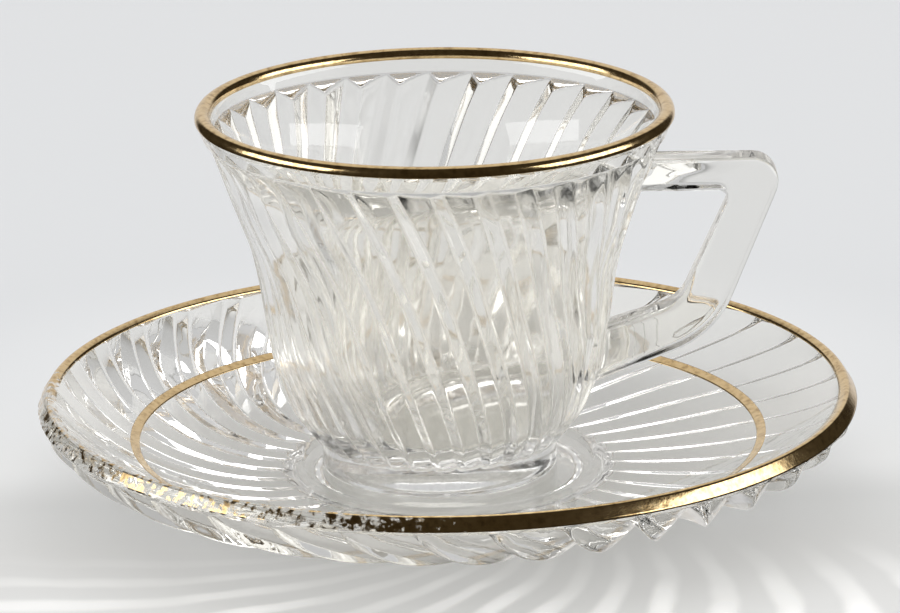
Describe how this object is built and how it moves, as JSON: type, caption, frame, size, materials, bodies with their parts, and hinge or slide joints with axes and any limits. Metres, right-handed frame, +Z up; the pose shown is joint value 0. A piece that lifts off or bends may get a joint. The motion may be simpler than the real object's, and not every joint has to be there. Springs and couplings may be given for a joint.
{
  "type": "demitasse cup and saucer",
  "caption": "Clear pressed-glass demitasse cup with swirled ribs, an angular handle and a gilt rim, standing empty in a matching ribbed saucer with a gilt rim and ring.",
  "frame": {"origin": "on the saucer's axis, at the surface that its foot ring stands on", "axes": "+Z up, +X towards the cup's handle, front at -Y"},
  "size_m": [0.1144, 0.1144, 0.056],
  "materials": {
    "clear_glass": "clear pressed glass, fire-polished, faintly warm",
    "gilt": "thin burnished gilding, worn in places"
  },
  "bodies": {
    "root": {"cup_glass": "clear_glass", "cup_gilt_rim": "gilt", "saucer_glass": "clear_glass", "saucer_gilt_rim": "gilt", "saucer_gilt_ring": "gilt"}
  },
  "joints": []
}
